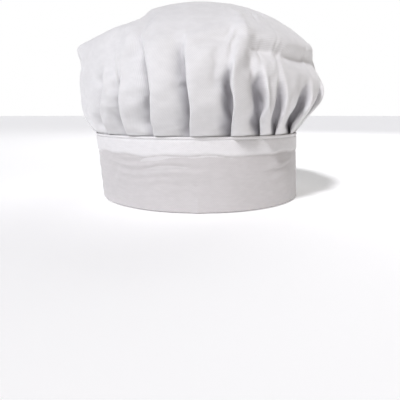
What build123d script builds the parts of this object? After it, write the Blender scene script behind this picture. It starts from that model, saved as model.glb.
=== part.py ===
from build123d import *
import os
from math import atan2, cos, degrees, radians, sin

# A low, floppy chef's toque. Millimetres, +Z up, the front faces -Y, +X is to the right when
# the wearer is seen from the front. The origin is the centre of the head opening, in the
# plane of the band's lower edge.
os.makedirs("parts", exist_ok=True)

# ---------------------------------------------------------------- driving dimensions
BAND_HEIGHT = 57.0
RIM_HALF_X, RIM_HALF_Y = 91.6, 98.0  # outer half axes of the band's lower edge
TOP_HALF_X, TOP_HALF_Y = 91.6, 100.0  # and of its upper edge
TOP_SHIFT_X = -3.6  # the upper edge sits this far to the left of the lower one

PLY = 0.6  # one layer of twill
STIFFENER = 0.4
POCKET = 1.7  # room between the band's two plies
SLACK = 0.1  # air between neighbouring layers
BAND_THICK = 2 * PLY + POCKET
THREAD = 0.3
THREAD_ROOM = THREAD / 2 + 0.08  # middle of a stitch over the face that it lies on

BACK = 90.0  # angle of the back of the head, counted from +X
GAP_HALF = 12.6  # half of the band's back opening, in degrees
SEAM_ALLOWANCE = 12.0  # crown cloth that reaches down into the band
CROWN_GAP_HALF = 20.0  # half angle that the allowance leaves free at the back

# Crown: height over the band's top, centre x, half width and half depth of its outer face.
CROWN_SECTIONS = (
    (7.0, -4.2, 94.8, 106.0),
    (14.5, -5.4, 98.4, 111.0),
    (29.0, -0.1, 106.1, 117.0),
    (43.0, 1.3, 107.0, 119.0),
    (58.0, -2.0, 104.4, 117.5),
    (68.0, -5.2, 103.2, 114.0),
    (74.0, -6.0, 98.0, 110.0),
    (80.0, -3.4, 89.0, 103.0),
    (86.0, -1.0, 79.0, 93.0),
    (92.0, 1.0, 68.5, 80.0),
    (98.0, 2.0, 56.0, 66.0),
    (103.0, 1.0, 43.0, 51.0),
    (106.5, 0.0, 30.0, 35.0),
    (109.0, 0.0, 9.0, 10.0),
)
CROWN_CLOTH = 1.0  # one ply and the air in its folds

VENT_HALF, VENT_HEIGHT = 28.0, 24.0  # arched opening over the closure
BINDING_WIDTH, BINDING_THICK = 5.0, 0.6

TAB_LOW, TAB_HIGH = 6.0, 51.0  # lower and upper edge of the closing strap
TAB_OVERLAP = 30.0  # degrees of band that the strap's free end covers
TAB_THICK = 1.8
TAB_CORNER = 6.0
TAB_SWING = 0.8  # degrees from the band's end to the bend in the strap
TAPE_LOW, TAPE_HIGH = 16.0, 41.0  # both tapes
TAPE_BASE, TAPE_PILE = 0.4, 0.6  # woven ground, and the hooks or loops on it
TAPE_CLEAR = 0.3  # hooks to loops
SELVAGE = 2.5  # bare edge of a tape, where it is sewn

LABEL_START, LABEL_WIDTH = 200.0, 18.0  # in degrees round the band
LABEL_HEIGHT, LABEL_THICK, LABEL_DROP = 36.0, 0.2, 6.0

STITCH, PITCH = 3.0, 4.0  # length of one stitch, and from one to the next
TOP_ROW_DROP, END_ROW_ANGLE = 2.0, 1.5  # sewn rows in from the band's top and from its ends
STRAP_ROW = 2.0  # and from the strap's edges
TACK_WIDTH, TACK_THICK, TACK_LENGTH = 1.6, 0.5, 8.0
TACK_DROP, TACK_ANGLE = 8.5, 5.0  # below the band's top, and degrees from the band's end


# ---------------------------------------------------------------- the headband's wall
def wall_axes(z, depth):
    """Centre x and half axes of the wall at height z, depth mm in from its outer face."""
    up = z / BAND_HEIGHT
    half_x = RIM_HALF_X + (TOP_HALF_X - RIM_HALF_X) * up - depth
    half_y = RIM_HALF_Y + (TOP_HALF_Y - RIM_HALF_Y) * up - depth
    return TOP_SHIFT_X * up, half_x, half_y


def wall_point(angle, z, depth):
    centre_x, half_x, half_y = wall_axes(z, depth)
    turn = radians(angle)
    return Vector(centre_x + half_x * cos(turn), half_y * sin(turn), z)


def span_face(z, depth_out, depth_in, start, end):
    """The wall between two depths, from one angle round to another, cut at height z."""
    with BuildSketch(Plane.XY.offset(z)) as face:
        with BuildLine():
            arcs = []
            for depth in (depth_out, depth_in):
                centre_x, half_x, half_y = wall_axes(z, depth)
                arcs.append(
                    EllipticalCenterArc((centre_x, 0), half_x, half_y, start, arc_size=end - start)
                )
            Line(arcs[0] @ 0, arcs[1] @ 0)
            Line(arcs[0] @ 1, arcs[1] @ 1)
        make_face()
    return face.sketch.faces()[0]


def span(z_low, z_high, depth_out, depth_in, start, end, mode=Mode.ADD):
    """A curved plate that follows the wall, added to the part being built."""
    faces = [span_face(z, depth_out, depth_in, start, end) for z in (z_low, z_high)]
    loft(sections=faces, ruled=True, mode=mode)


def spot_on(surface, angle, z, depth):
    """A place on a curved surface: local x runs along it and local z runs up it."""
    here = surface(angle, z, depth)
    along = surface(angle + 0.5, z, depth) - here
    up = surface(angle, z + 1, depth) - here
    across = along.cross(up)
    return Plane(origin=here, x_dir=along, z_dir=across.cross(along)).location


def wall_spot(angle, z, depth):
    return spot_on(wall_point, angle, z, depth)


def stitch_row(z, depth, start, end, length=STITCH, pitch=PITCH):
    """A level row of stitches along the wall."""
    radius = (TOP_HALF_X + TOP_HALF_Y) / 2
    count = int(radians(end - start) * radius / pitch)
    angles = [start + (end - start) * (number + 0.5) / count for number in range(count)]
    with Locations([wall_spot(angle, z, depth) for angle in angles]):
        Box(length, THREAD, THREAD)


def stitch_column(angle, z_low, z_high, depth):
    """An upright row of stitches on the wall."""
    count = int((z_high - z_low) / PITCH)
    heights = [z_low + (z_high - z_low) * (number + 0.5) / count for number in range(count)]
    with Locations([wall_spot(angle, z, depth) for z in heights]):
        Box(THREAD, THREAD, STITCH)


band_start = BACK + GAP_HALF
band_end = BACK + 360 - GAP_HALF
on_lining = BAND_THICK + THREAD_ROOM

# ---------------------------------------------------------------- band
with BuildPart() as band:
    span(0, BAND_HEIGHT, 0, BAND_THICK, band_start, band_end)
    span(PLY, BAND_HEIGHT, PLY, PLY + POCKET, band_start, band_end, Mode.SUBTRACT)
band.part.label = "band"

with BuildPart() as band_interfacing:
    depth = PLY + SLACK
    top = BAND_HEIGHT - SEAM_ALLOWANCE - 1
    span(PLY + 0.2, top, depth, depth + STIFFENER, band_start + 9, band_end - 9)
band_interfacing.part.label = "band_interfacing"

with BuildPart() as band_top_stitching:
    for depth in (-THREAD_ROOM, on_lining):
        stitch_row(BAND_HEIGHT - TOP_ROW_DROP, depth, band_start + 1, band_end - 1)
band_top_stitching.part.label = "band_top_stitching"

with BuildPart() as band_end_stitching:
    for angle in (band_start + END_ROW_ANGLE, band_end - END_ROW_ANGLE):
        for depth in (-THREAD_ROOM, on_lining):
            stitch_column(angle, 3.0, BAND_HEIGHT - 4.5, depth)
band_end_stitching.part.label = "band_end_stitching"

# ---------------------------------------------------------------- crown
allowance_out = PLY + 0.6
allowance_in = allowance_out + CROWN_CLOTH


def crown_solid(inset):
    """The closed body of the crown, its outer face moved inwards by inset."""
    foot_z = BAND_HEIGHT + 0.2
    foot = (foot_z, *wall_axes(foot_z, allowance_out))
    rows = [foot] + [(BAND_HEIGHT + height, *oval) for height, *oval in CROWN_SECTIONS]
    with BuildPart() as body:
        for number, (z, centre_x, half_x, half_y) in enumerate(rows):
            below, above = rows[max(number - 1, 0)], rows[min(number + 1, len(rows) - 1)]
            slope = atan2(below[2] - above[2], above[0] - below[0])
            if number == 0:
                slope = 0
            inwards, down = inset * cos(slope), inset * sin(slope)
            with BuildSketch(Plane.XY.offset(z - down)):
                with Locations((centre_x, 0)):
                    Ellipse(half_x - inwards, half_y - inwards)
        loft(ruled=True)
    return body.part


def arch(half_width, height):
    """Prism along Y through the back of the crown: an arch that stands on the band's top."""
    with BuildPart() as prism:
        with BuildSketch(Plane.XZ.offset(-160)):
            with BuildLine():
                left = (TOP_SHIFT_X - half_width, BAND_HEIGHT - 20)
                right = (TOP_SHIFT_X + half_width, BAND_HEIGHT - 20)
                foot_left = (left[0], BAND_HEIGHT + 2)
                foot_right = (right[0], BAND_HEIGHT + 2)
                Polyline(foot_left, left, right, foot_right)
                EllipticalCenterArc(
                    (TOP_SHIFT_X, BAND_HEIGHT + 2), half_width, height - 2, 0, arc_size=180
                )
            make_face()
        extrude(amount=110)
    return prism.part


vent_cut = arch(VENT_HALF, VENT_HEIGHT)
binding_reach = arch(VENT_HALF + BINDING_WIDTH, VENT_HEIGHT + BINDING_WIDTH)
binding_mouth = arch(VENT_HALF - BINDING_THICK - SLACK, VENT_HEIGHT - BINDING_THICK - SLACK)

with BuildPart() as crown:
    add(crown_solid(0))
    add(crown_solid(CROWN_CLOTH), mode=Mode.SUBTRACT)
    span(
        BAND_HEIGHT - SEAM_ALLOWANCE,
        BAND_HEIGHT + 0.2,
        allowance_out,
        allowance_in,
        BACK + CROWN_GAP_HALF,
        BACK + 360 - CROWN_GAP_HALF,
    )
    add(vent_cut, mode=Mode.SUBTRACT)
crown.part.label = "crown"

with BuildPart() as pleat_basting:
    z = BAND_HEIGHT - SEAM_ALLOWANCE / 2
    depth = allowance_out - SLACK / 2 - THREAD / 2
    stitch_row(z, depth, BACK + 22, BACK + 338, length=5.0, pitch=8.0)
pleat_basting.part.label = "pleat_basting"

with BuildPart() as vent_binding:
    add(crown_solid(-BINDING_THICK - SLACK))
    add(crown_solid(CROWN_CLOTH + BINDING_THICK + SLACK), mode=Mode.SUBTRACT)
    add(binding_reach, mode=Mode.INTERSECT)
    add(binding_mouth, mode=Mode.SUBTRACT)
    with BuildPart(mode=Mode.PRIVATE) as cloth_room:
        add(crown_solid(-SLACK))
        add(crown_solid(CROWN_CLOTH + SLACK), mode=Mode.SUBTRACT)
        add(arch(VENT_HALF - SLACK, VENT_HEIGHT - SLACK), mode=Mode.SUBTRACT)
    add(cloth_room.part, mode=Mode.SUBTRACT)
    with Locations((0, 0, BAND_HEIGHT + 0.5 - 20)):
        Box(300, 300, 40, mode=Mode.SUBTRACT)
vent_binding.part.label = "vent_binding"

with BuildPart() as vent_bartacks:
    depth = -0.35
    foot_angles = [BACK + side * (GAP_HALF + TACK_ANGLE) for side in (-1, 1)]
    with Locations([wall_spot(angle, BAND_HEIGHT - TACK_DROP, depth) for angle in foot_angles]):
        Box(TACK_WIDTH, TACK_THICK, TACK_LENGTH)
vent_bartacks.part.label = "vent_bartacks"

# ---------------------------------------------------------------- back closure
tab_root = BACK - GAP_HALF + TAB_SWING
tab_free = BACK + GAP_HALF + TAB_OVERLAP
root_depth = BAND_THICK / 2
over_depth = -(2 * SLACK + 2 * (TAPE_BASE + TAPE_PILE) + TAPE_CLEAR + TAB_THICK / 2)


def tab_depth(angle):
    """Depth of the strap's middle: out of the band's pocket, then over the other end."""
    way = min(max((angle - tab_root) / (2 * GAP_HALF - 3), 0), 1)
    ease = way * way * (3 - 2 * way)
    return root_depth + (over_depth - root_depth) * ease


def tab_face(z, layer_out, layer_in, start, end, step=3.0):
    """The strap between two layers, counted inwards from its middle, cut at height z."""
    count = round((end - start) / step)
    angles = [start + (end - start) * number / count for number in range(count + 1)]
    with BuildSketch(Plane.XY.offset(z)) as face:
        with BuildLine():
            curves = []
            for layer in (layer_out, layer_in):
                points = [tab_point(angle, z, layer) for angle in angles]
                curves.append(Spline([(point.X, point.Y) for point in points]))
            Line(curves[0] @ 0, curves[1] @ 0)
            Line(curves[0] @ 1, curves[1] @ 1)
        make_face()
    return face.sketch.faces()[0]


def tab_span(z_low, z_high, layer_out, layer_in, start, end, mode=Mode.ADD):
    faces = [tab_face(z, layer_out, layer_in, start, end) for z in (z_low, z_high)]
    loft(sections=faces, ruled=True, mode=mode)


def tab_point(angle, z, layer):
    return wall_point(angle, z, tab_depth(angle) + layer)


def tab_spot(angle, z, layer):
    return spot_on(tab_point, angle, z, layer)


def tab_stitches(layer, angle_low, angle_high, z_low, z_high, upright=(True, True)):
    """Stitches round a rectangle on the strap; upright says which of its ends are sewn."""
    count = int(radians(angle_high - angle_low) * TOP_HALF_X / PITCH)
    angles = [angle_low + (angle_high - angle_low) * (n + 0.5) / count for n in range(count)]
    with Locations([tab_spot(angle, z, layer) for angle in angles for z in (z_low, z_high)]):
        Box(STITCH, THREAD, THREAD)
    rows = int((z_high - z_low) / PITCH)
    heights = [z_low + (z_high - z_low) * (n + 0.5) / rows for n in range(rows)]
    ends = [angle for angle, sewn in zip((angle_low, angle_high), upright) if sewn]
    with Locations([tab_spot(angle, z, layer) for angle in ends for z in heights]):
        Box(THREAD, THREAD, STITCH)


with BuildPart() as closure_tab:
    half = TAB_THICK / 2
    tab_span(TAB_LOW, TAB_HIGH, -half, half, tab_root, tab_free)
    free_end = closure_tab.edges().filter_by(lambda edge: edge.length < TAB_THICK + 0.3)
    corners = free_end.sort_by(Axis.X)[:2]
    fillet(corners, TAB_CORNER)
    room = half - PLY
    tab_span(TAB_LOW + 2, TAB_HIGH - 2, -room, room, tab_root, tab_free - 5, Mode.SUBTRACT)
closure_tab.part.label = "closure_tab"

with BuildPart() as tab_interfacing:
    half = STIFFENER / 2
    tab_span(TAB_LOW + 3, TAB_HIGH - 3, -half, half, tab_root + 2, tab_free - 6)
tab_interfacing.part.label = "tab_interfacing"

with BuildPart() as tab_sewn_end:
    depth = root_depth - PLY
    span(TAB_LOW, TAB_HIGH, depth, depth + 2 * PLY, tab_root - 8, tab_root - TAB_SWING - 0.3)
tab_sewn_end.part.label = "tab_sewn_end"

hook_start, hook_end = BACK + GAP_HALF + 4, tab_free - 3
hook_face = TAB_THICK / 2 + SLACK
selvage_angle = degrees(SELVAGE / TOP_HALF_X)
with BuildPart() as hook_tape:
    ground = hook_face + TAPE_BASE
    tab_span(TAPE_LOW, TAPE_HIGH, hook_face, ground, hook_start, hook_end)
    tab_span(
        TAPE_LOW + SELVAGE,
        TAPE_HIGH - SELVAGE,
        ground - TAPE_BASE / 2,
        ground + TAPE_PILE,
        hook_start + selvage_angle,
        hook_end - selvage_angle,
    )
hook_tape.part.label = "hook_tape"

with BuildPart() as hook_tape_stitching:
    edge_angle = selvage_angle / 2
    for layer in (ground + THREAD_ROOM, -TAB_THICK / 2 - THREAD_ROOM):
        tab_stitches(
            layer,
            hook_start + edge_angle,
            hook_end - edge_angle,
            TAPE_LOW + SELVAGE / 2,
            TAPE_HIGH - SELVAGE / 2,
        )
hook_tape_stitching.part.label = "hook_tape_stitching"

with BuildPart() as tab_edge_stitching:
    for layer in (-TAB_THICK / 2 - THREAD_ROOM, TAB_THICK / 2 + THREAD_ROOM):
        tab_stitches(
            layer,
            tab_root + 3,
            tab_free - END_ROW_ANGLE,
            TAB_LOW + STRAP_ROW,
            TAB_HIGH - STRAP_ROW,
            (False, True),
        )
tab_edge_stitching.part.label = "tab_edge_stitching"

loop_start, loop_end = BACK + GAP_HALF + 3.5, tab_free + 9
with BuildPart() as loop_tape:
    ground_out = SLACK + TAPE_BASE
    span(TAPE_LOW, TAPE_HIGH, -ground_out, -SLACK, loop_start, loop_end)
    span(
        TAPE_LOW + SELVAGE,
        TAPE_HIGH - SELVAGE,
        -ground_out - TAPE_PILE,
        -ground_out + TAPE_BASE / 2,
        loop_start + selvage_angle,
        loop_end - selvage_angle,
    )
loop_tape.part.label = "loop_tape"

with BuildPart() as loop_tape_stitching:
    for depth in (-ground_out - THREAD_ROOM, on_lining):
        for z in (TAPE_LOW + SELVAGE / 2, TAPE_HIGH - SELVAGE / 2):
            stitch_row(z, depth, loop_start + 0.5, loop_end - 0.5)
        for angle in (loop_start + edge_angle, loop_end - edge_angle):
            stitch_column(angle, TAPE_LOW + SELVAGE, TAPE_HIGH - SELVAGE, depth)
loop_tape_stitching.part.label = "loop_tape_stitching"

# ---------------------------------------------------------------- blank care label
label_depth = BAND_THICK + 0.2
label_top = BAND_HEIGHT - LABEL_DROP
with BuildPart() as care_label:
    span(
        label_top - LABEL_HEIGHT,
        label_top,
        label_depth,
        label_depth + LABEL_THICK,
        LABEL_START,
        LABEL_START + LABEL_WIDTH,
    )
care_label.part.label = "care_label"

with BuildPart() as care_label_stitching:
    depth = label_depth + LABEL_THICK + THREAD_ROOM
    stitch_row(label_top - 2.5, depth, LABEL_START + 0.5, LABEL_START + LABEL_WIDTH - 0.5)
care_label_stitching.part.label = "care_label_stitching"

for piece in (
    crown,
    band,
    band_interfacing,
    pleat_basting,
    band_top_stitching,
    band_end_stitching,
    vent_binding,
    vent_bartacks,
    closure_tab,
    tab_interfacing,
    tab_sewn_end,
    tab_edge_stitching,
    hook_tape,
    hook_tape_stitching,
    loop_tape,
    loop_tape_stitching,
    care_label,
    care_label_stitching,
):
    export_step(piece.part, "parts/" + piece.part.label + ".step")

# The strap's bend line, for the hinge.
for z in (TAB_LOW, TAB_HIGH):
    print("bend line", wall_point(tab_root, z, root_depth))
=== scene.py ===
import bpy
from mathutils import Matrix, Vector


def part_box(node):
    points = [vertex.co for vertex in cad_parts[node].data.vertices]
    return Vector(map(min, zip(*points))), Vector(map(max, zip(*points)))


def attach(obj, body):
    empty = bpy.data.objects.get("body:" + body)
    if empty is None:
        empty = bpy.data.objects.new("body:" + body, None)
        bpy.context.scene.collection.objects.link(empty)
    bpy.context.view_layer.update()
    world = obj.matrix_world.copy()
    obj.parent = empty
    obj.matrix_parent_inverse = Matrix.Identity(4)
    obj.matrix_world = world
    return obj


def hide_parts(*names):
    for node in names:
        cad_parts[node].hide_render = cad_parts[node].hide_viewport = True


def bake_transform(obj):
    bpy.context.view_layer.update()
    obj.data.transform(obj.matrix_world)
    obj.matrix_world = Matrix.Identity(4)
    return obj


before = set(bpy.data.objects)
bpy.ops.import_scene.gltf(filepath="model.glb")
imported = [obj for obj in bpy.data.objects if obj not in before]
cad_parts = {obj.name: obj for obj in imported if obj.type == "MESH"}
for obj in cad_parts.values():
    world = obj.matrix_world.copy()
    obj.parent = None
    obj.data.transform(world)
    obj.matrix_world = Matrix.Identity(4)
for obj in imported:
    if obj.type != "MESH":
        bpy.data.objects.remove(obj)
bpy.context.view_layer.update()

import math
import random

import bmesh
import bpy
import numpy as np
from mathutils import Vector

# A low, floppy chef's toque. Metres, +Z up, the front faces -Y. Angles are in degrees and go
# round from +X through the back (90), the viewer's left (180) and the front (270).
MM = 0.001

# ---------------------------------------------------------------- places, from the frame
band_low, band_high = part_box("band")
BAND_TOP = band_high.z
HALF_X = band_high.x  # the band's outer half width
LEAN_X = band_low.x + HALF_X  # its upper edge sits this far to the left
HALF_Y_RIM, HALF_Y_TOP = 98 * MM, -band_low.y  # its half depth at the lower and the upper edge
BAND_THICK = 2.9 * MM
MEAN_RADIUS = 95  # of the band in millimetres, for lengths round it
PER_DEGREE = 1.65  # millimetres of the band's wall in a degree
GAP_HALF = math.degrees(math.acos(band_high.y / HALF_Y_TOP))  # back opening of the band
BACK = 90.0
BAND_START, BAND_END = BACK + GAP_HALF, BACK + 360 - GAP_HALF
SEAM = 13 * MM  # crown cloth inside the band
SEAM_DEPTH = 1.45 * MM  # of that cloth behind the band's outer face
VENT_HALF_ANGLE, VENT_HEIGHT = 17.5, 24 * MM  # the arch over the back opening
VENT_CLOTH = 24.0  # degrees of the flat circle over the back opening
PLEAT_START, PLEAT_END = BACK + 20.0, BACK + 340.0
CUT_SHORT = 0.97  # the cloth pulls a little between the band and the top


def smooth(value, low, high):
    """0 below low, 1 above high, an S-curve between."""
    way = np.clip((value - low) / (high - low), 0, 1)
    return way * way * (3 - 2 * way)


def bump(value, middle, width):
    """1 at the middle, falling to 0 a few widths away."""
    return np.exp(-(((value - middle) / width) ** 2))


def wall(angle, z, depth):
    """Points on the headband's wall, depth in from its outer face."""
    up = np.asarray(z) / BAND_TOP
    half_y = HALF_Y_RIM + (HALF_Y_TOP - HALF_Y_RIM) * up - depth
    turn = np.radians(angle)
    x = LEAN_X * up + (HALF_X - depth) * np.cos(turn)
    y = half_y * np.sin(turn)
    return np.stack(np.broadcast_arrays(x, y, np.asarray(z) + 0 * x), -1)


def unit(vectors):
    """The same directions, one metre long."""
    return vectors / np.linalg.norm(vectors, axis=-1, keepdims=True)


def travel(points):
    """How far along a line of points each of them is."""
    return np.concatenate([[0], np.cumsum(np.linalg.norm(np.diff(points, axis=0), axis=1))])


# ---------------------------------------------------------------- making pieces
def new_piece(name, points, faces, material, body="hat", flat=None):
    """A smooth mesh; flat is each point's place on the cloth as it was cut."""
    mesh = bpy.data.meshes.new(name)
    mesh.from_pydata([tuple(p) for p in points], [], faces)
    mesh.update()
    if flat is not None:
        attribute = mesh.attributes.new("flat", "FLOAT_VECTOR", "POINT")
        attribute.data.foreach_set("vector", np.asarray(flat, dtype=np.float32).ravel())
    mesh.polygons.foreach_set("use_smooth", [True] * len(mesh.polygons))
    mesh.materials.append(material)
    piece = bpy.data.objects.new(name, mesh)
    bpy.context.collection.objects.link(piece)
    if body:
        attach(piece, body)
    return piece


def grid_faces(rows, columns, wrap_columns=False, wrap_rows=False, first=0):
    """Quads between a grid of points that were laid out row by row."""
    faces = []
    for row in range(rows if wrap_rows else rows - 1):
        here, above = first + row * columns, first + (row + 1) % rows * columns
        for column in range(columns if wrap_columns else columns - 1):
            right = (column + 1) % columns
            faces.append((here + column, here + right, above + right, above + column))
    return faces


def finish_piece(piece, slot, *nodes):
    """Turns its faces outwards and hides the CAD nodes that it stands for; slot, its finish, is not
    used.
    """
    shape = bmesh.new()
    shape.from_mesh(piece.data)
    bmesh.ops.recalc_face_normals(shape, faces=shape.faces)
    shape.to_mesh(piece.data)
    shape.free()
    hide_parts(*nodes)


def add_values(piece, name, values, domain="POINT"):
    """Gives a piece one more number at each of its points or edges."""
    attribute = piece.data.attributes.new(name, "FLOAT", domain)
    attribute.data.foreach_set("value", np.asarray(values, dtype=np.float32).ravel())


# ---------------------------------------------------------------- materials
def set_inputs(tree, node, inputs):
    """Each input is a value, or the output of another node."""
    for name, value in inputs.items():
        if isinstance(value, bpy.types.NodeSocket):
            tree.links.new(value, node.inputs[name])
        else:
            node.inputs[name].default_value = value


def add_node(tree, kind, output, inputs=(), **settings):
    """One output of a new node."""
    node = tree.nodes.new("ShaderNode" + kind)
    for name, value in settings.items():
        setattr(node, name, value)
    set_inputs(tree, node, dict(inputs))
    return node.outputs[output]


def multiply(tree, share, colour, other):
    """A colour multiplied by another one, as far as share says."""
    inputs = {"Factor": share, "A": colour, "B": other}
    return add_node(tree, "Mix", "Result", inputs, data_type="RGBA", blend_type="MULTIPLY")


def colour_ramp(tree, value, low, high, first, last):
    """The first colour where value is below low, and the last where it is above high."""
    output = add_node(tree, "ValToRGB", "Color", {"Fac": value})
    for element, place, colour in zip(output.node.color_ramp.elements, (low, high), (first, last)):
        element.position = place
        element.color = (*colour, 1)
    return output


def start_material(name, shader_inputs):
    """A material, its node tree, its shader and the flat pattern's coordinates."""
    material = bpy.data.materials.new(name)
    material.use_nodes = True
    tree = material.node_tree
    shader = tree.nodes["Principled BSDF"]
    set_inputs(tree, shader, shader_inputs)
    return material, tree, shader, add_node(tree, "Attribute", "Vector", attribute_name="flat")


def finish_material(tree, shader, colour, height, strength, relief):
    """Gives the shader its colour and its bumps, relief millimetres high."""
    inputs = {"Strength": strength, "Distance": relief * MM, "Height": height}
    normal = add_node(tree, "Bump", "Normal", inputs)
    set_inputs(tree, shader, {"Base Color": colour, "Normal": normal})


WEAVE = ((0.9, 1.0), (-0.67, 1.9))  # ribs and crossing yarns: turn in radians, how many of them
WAVE_PITCH = 0.314  # metres between the waves of a texture of scale 1
THREADS_IN_RIB = 2
CROSS_SHARE, YARN_SHARE, LINT_SHARE = 0.35, 0.10, 0.3  # of the yarns, of their shade, of lint
SLUB_SCALE, LINT_SCALE = 28, 900  # uneven yarn, and fibres that stand off the cloth


def cloth_material(
    name, colour, thread=0.55 * MM, relief=0.12, sheen=0.35, rough=0.9, mottle=0.05,
    shade_tone=(0.62, 0.61, 0.63),
):
    """Twill: fine diagonal ribs crossed by the yarns, on the flat pattern's own coordinates.

    Painted shade: where the cloth's shade value is 1, its colour is multiplied by the darker shade tone.
    """
    inputs = {"Roughness": rough, "Sheen Weight": sheen}
    inputs.update({"Sheen Roughness": 0.5, "Specular IOR Level": 0.2})
    material, tree, shader, flat = start_material(name, inputs)
    waves = []
    for turn, share in WEAVE:
        inputs = {"Rotation": (0, 0, turn), "Vector": flat}
        inputs = {"Vector": add_node(tree, "Mapping", "Vector", inputs)}
        inputs["Scale"] = share * WAVE_PITCH / thread / THREADS_IN_RIB
        inputs.update({"Distortion": 0.6, "Detail": 1, "Detail Scale": 3})
        waves.append(add_node(tree, "TexWave", "Fac", inputs))
    weave = add_node(tree, "Mix", "Result", {"Factor": CROSS_SHARE, "A": waves[0], "B": waves[1]})
    slub = add_node(tree, "TexNoise", "Fac", {"Scale": SLUB_SCALE, "Detail": 5})
    plain = colour_ramp(tree, slub, 0.35, 0.65, [c * (1 - mottle) for c in colour], colour)
    yarns = multiply(tree, YARN_SHARE, plain, weave)
    # Painted shade: the piece's own attribute darkens the cloth's colour towards the shade tone.
    painted_shade = add_node(tree, "Attribute", "Fac", attribute_name="painted_shade")
    shaded = multiply(tree, painted_shade, yarns, (*shade_tone, 1))
    lint = add_node(tree, "TexNoise", "Fac", {"Scale": LINT_SCALE, "Detail": 2})
    height = add_node(tree, "Mix", "Result", {"Factor": LINT_SHARE, "A": weave, "B": lint})
    finish_material(tree, shader, shaded, height, 0.5, relief)
    return material


def fine_material(
    name, colour, scale, relief, rough, sheen=0.0, stretch=(1, 1, 1), mottle=0.08, lets_light=0.0
):
    """Threads, felt and nylon: an even colour with fine fibres."""
    inputs = {"Roughness": rough, "Sheen Weight": sheen, "Specular IOR Level": 0.3}
    inputs.update({"Subsurface Weight": lets_light, "Subsurface Scale": 0.5 * MM})
    material, tree, shader, flat = start_material(name, inputs)
    inputs = {"Scale": stretch, "Rotation": (0, 0, 0.6), "Vector": flat}
    inputs = {"Vector": add_node(tree, "Mapping", "Vector", inputs), "Scale": scale, "Detail": 4}
    fibres = add_node(tree, "TexNoise", "Fac", inputs)
    plain = colour_ramp(tree, fibres, 0.3, 0.7, [c * (1 - mottle) for c in colour], colour)
    finish_material(tree, shader, plain, fibres, 0.6, relief)
    return material


# The twills carry painted shade: in the crown's slits, and on the band below its seam allowance's strip.
TWILL = cloth_material("twill", (0.805, 0.80, 0.81))
BAND_TWILL = cloth_material("band_twill", (0.81, 0.80, 0.81), shade_tone=(0.78, 0.765, 0.76))
THREAD = fine_material("thread", (0.80, 0.80, 0.82), 2200, 0.06, 0.6, sheen=0.3, stretch=(0.3, 3, 1))
STIFFENER = fine_material("stiffener", (0.76, 0.77, 0.78), 700, 0.10, 0.95, sheen=0.2, stretch=(1, 4, 1))
TAPE_GROUND = cloth_material("tape_ground", (0.80, 0.80, 0.82), thread=0.4 * MM, relief=0.10)
HOOK_NYLON = fine_material("hook_nylon", (0.82, 0.83, 0.85), 900, 0.02, 0.35, lets_light=0.2)
LOOP_YARN = fine_material("loop_yarn", (0.84, 0.84, 0.86), 2600, 0.05, 0.8, sheen=0.5)
BINDING = cloth_material("binding", (0.86, 0.86, 0.88), thread=0.45 * MM, relief=0.14, sheen=0.25)
LABEL = cloth_material("label", (0.84, 0.83, 0.82), thread=0.18 * MM, relief=0.04, sheen=0.5, rough=0.55)

# ---------------------------------------------------------------- crown: the envelope
# Height over the band's top, then the outermost places on the left (-x), right, front (-y)
# and back, in millimetres. The crown flops to the left: it has a corner there.
PROFILE = (
    (0.0, -94.0, 86.8, -98.7, 98.7),
    (4.0, -96.0, 88.0, -102.5, 102.5),
    (9.0, -100.5, 90.5, -107.0, 106.5),
    (15.0, -104.0, 93.5, -111.0, 110.0),
    (22.0, -105.5, 99.5, -114.5, 113.5),
    (29.0, -106.0, 105.5, -117.0, 116.0),
    (36.0, -105.8, 108.3, -118.5, 117.8),
    (43.0, -105.6, 108.3, -119.0, 118.5),
    (51.0, -106.0, 106.0, -118.5, 118.0),
    (58.0, -107.0, 102.5, -117.0, 116.5),
    (64.0, -108.3, 99.5, -115.0, 114.5),
    (68.5, -108.5, 97.5, -112.5, 112.0),
    (71.5, -107.6, 94.5, -110.0, 109.5),
    (76.0, -102.0, 90.0, -106.0, 105.5),
    (82.0, -90.0, 83.5, -99.0, 99.0),
    (88.0, -78.0, 75.5, -90.0, 90.0),
    (94.0, -64.5, 65.5, -77.5, 78.0),
    (99.5, -50.0, 54.0, -63.0, 64.0),
    (104.0, -35.0, 40.0, -46.0, 47.0),
    (107.3, -19.0, 23.0, -27.0, 27.0),
    (108.8, 0.0, 0.0, 0.0, 0.0),
)
profile = np.array(PROFILE) * MM
SEAT_BLEND = 25 * MM  # by this height the crown's middle is no longer over the band's
PROFILE_PLACES, PROFILE_PASSES = 421, 14  # places up the crown, and how often they are smoothed
PROFILE_CENTRE = LEAN_X * (1 - smooth(profile[:, 0], 0, SEAT_BLEND))
steps = np.diff(profile, axis=0)
lengths = np.mean([np.hypot(steps[:, 0], steps[:, side]) for side in (1, 2, 3, 4)], axis=0)
PROFILE_WAY = np.concatenate([[0], np.cumsum(lengths)])
MERIDIAN = PROFILE_WAY[-1]  # length of cloth from the band up to the middle of the top
CLOTH_RADIUS = MERIDIAN * CUT_SHORT  # of the flat circle, without the seam allowance


def soften(values, passes):
    """Smooths a line of values or points, and leaves its two ends."""
    for _ in range(passes):
        values[1:-1] = values[1:-1] * 0.5 + (values[:-2] + values[2:]) * 0.25
    return values


FINE = np.linspace(0, MERIDIAN, PROFILE_PLACES)
fine_profile = np.stack(
    [soften(np.interp(FINE, PROFILE_WAY, column), PROFILE_PASSES) for column in profile.T]
)
fine_centre = np.interp(FINE, PROFILE_WAY, PROFILE_CENTRE)


def envelope(angle, way):
    """The crown's outer form without folds, way metres of cloth up from the band's top."""
    height, left, right, front, back = [np.interp(way, FINE, row) for row in fine_profile]
    centre = np.interp(way, FINE, fine_centre)
    turn = np.radians(angle)
    across, along = np.cos(turn), np.sin(turn)
    x = centre + across * np.where(across > 0, right - centre, centre - left)
    y = along * np.where(along > 0, back, -front)
    return np.stack([x, y, BAND_TOP + height], -1)


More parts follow.
